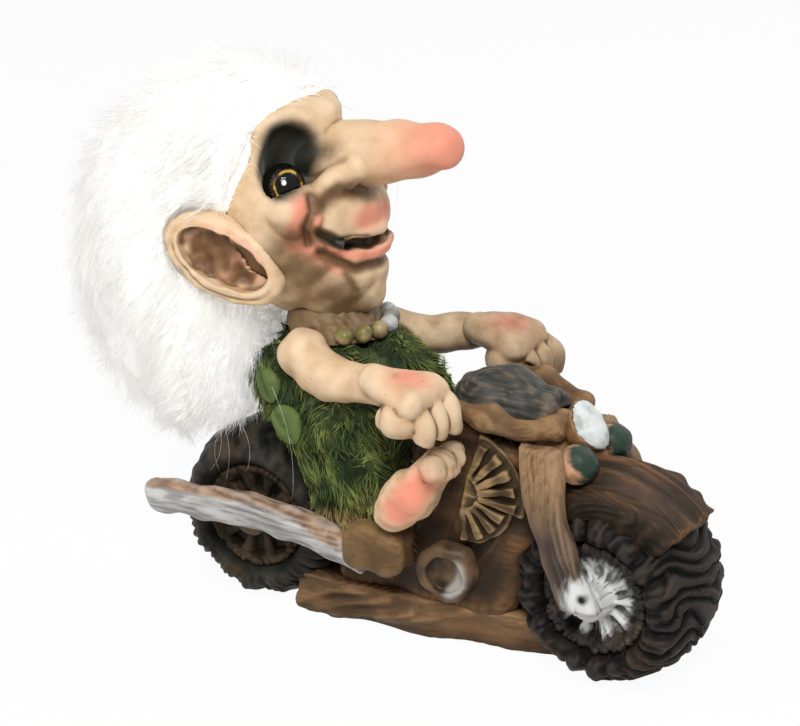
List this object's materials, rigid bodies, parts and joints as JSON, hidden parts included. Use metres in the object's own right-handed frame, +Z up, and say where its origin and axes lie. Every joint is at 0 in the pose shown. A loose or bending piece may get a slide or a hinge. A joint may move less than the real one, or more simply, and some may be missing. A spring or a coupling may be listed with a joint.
{
  "type": "norwegian troll figure",
  "caption": "Ornament of a long-nosed troll with a white fur wig and moss dress, riding a motorbike carved like root wood.",
  "frame": {"origin": "on the ground, midway between the two axles", "axes": "+X the way the bike points, +Y to its left, +Z up"},
  "size_m": [0.208, 0.0803, 0.165],
  "materials": {
    "root_wood": "cast resin painted as dark root wood with copper dry-brushing",
    "fan_ribs": "cast resin painted tan and brown",
    "dark_tyre": "cast resin painted black-brown",
    "silver_wash": "cast resin painted dark and dry-brushed silver",
    "tank_green": "cast resin painted dark green-grey",
    "lamp_paint": "cast resin painted peach and green",
    "moss_green": "cast resin carved and painted as moss",
    "troll_skin": "cast resin painted as skin with a brown wash",
    "bead_paint": "cast resin painted tan and silver",
    "eye_clear": "clear polished glass",
    "eye_paint": "painted amber iris and black pupil",
    "wig_leather": "pale tanned skin",
    "white_fur": "long white fur"
  },
  "bodies": {
    "root": {"base_plinth": "root_wood", "engine_block": "root_wood", "front_mudguard": "root_wood", "handlebar": "root_wood", "headlamp_cup": "root_wood", "fork_leg_right": "root_wood", "fork_leg_left": "root_wood", "footboard_right": "root_wood", "footboard_left": "root_wood", "upper_fan_right": "fan_ribs", "upper_fan_left": "fan_ribs", "lower_fan_right": "fan_ribs", "lower_fan_left": "fan_ribs", "rear_tyre": "dark_tyre", "front_tyre": "dark_tyre", "rear_wheel": "silver_wash", "front_wheel": "silver_wash", "exhaust_pipe": "silver_wash", "engine_cover_right": "silver_wash", "engine_cover_left": "silver_wash", "headlamp_lens": "silver_wash", "fuel_tank": "tank_green", "spot_lamp_right": "lamp_paint", "spot_lamp_left": "lamp_paint", "moss_dress": "moss_green", "head": "troll_skin", "bust": "troll_skin", "arm_right": "troll_skin", "arm_left": "troll_skin", "foot_right": "troll_skin", "foot_left": "troll_skin", "ear_right": "troll_skin", "ear_left": "troll_skin", "necklace_beads": "bead_paint", "eye_glass_right": "eye_clear", "eye_glass_left": "eye_clear", "eye_iris_right": "eye_paint", "eye_iris_left": "eye_paint", "wig_skin": "wig_leather", "wig_fur": "white_fur"}
  },
  "joints": []
}
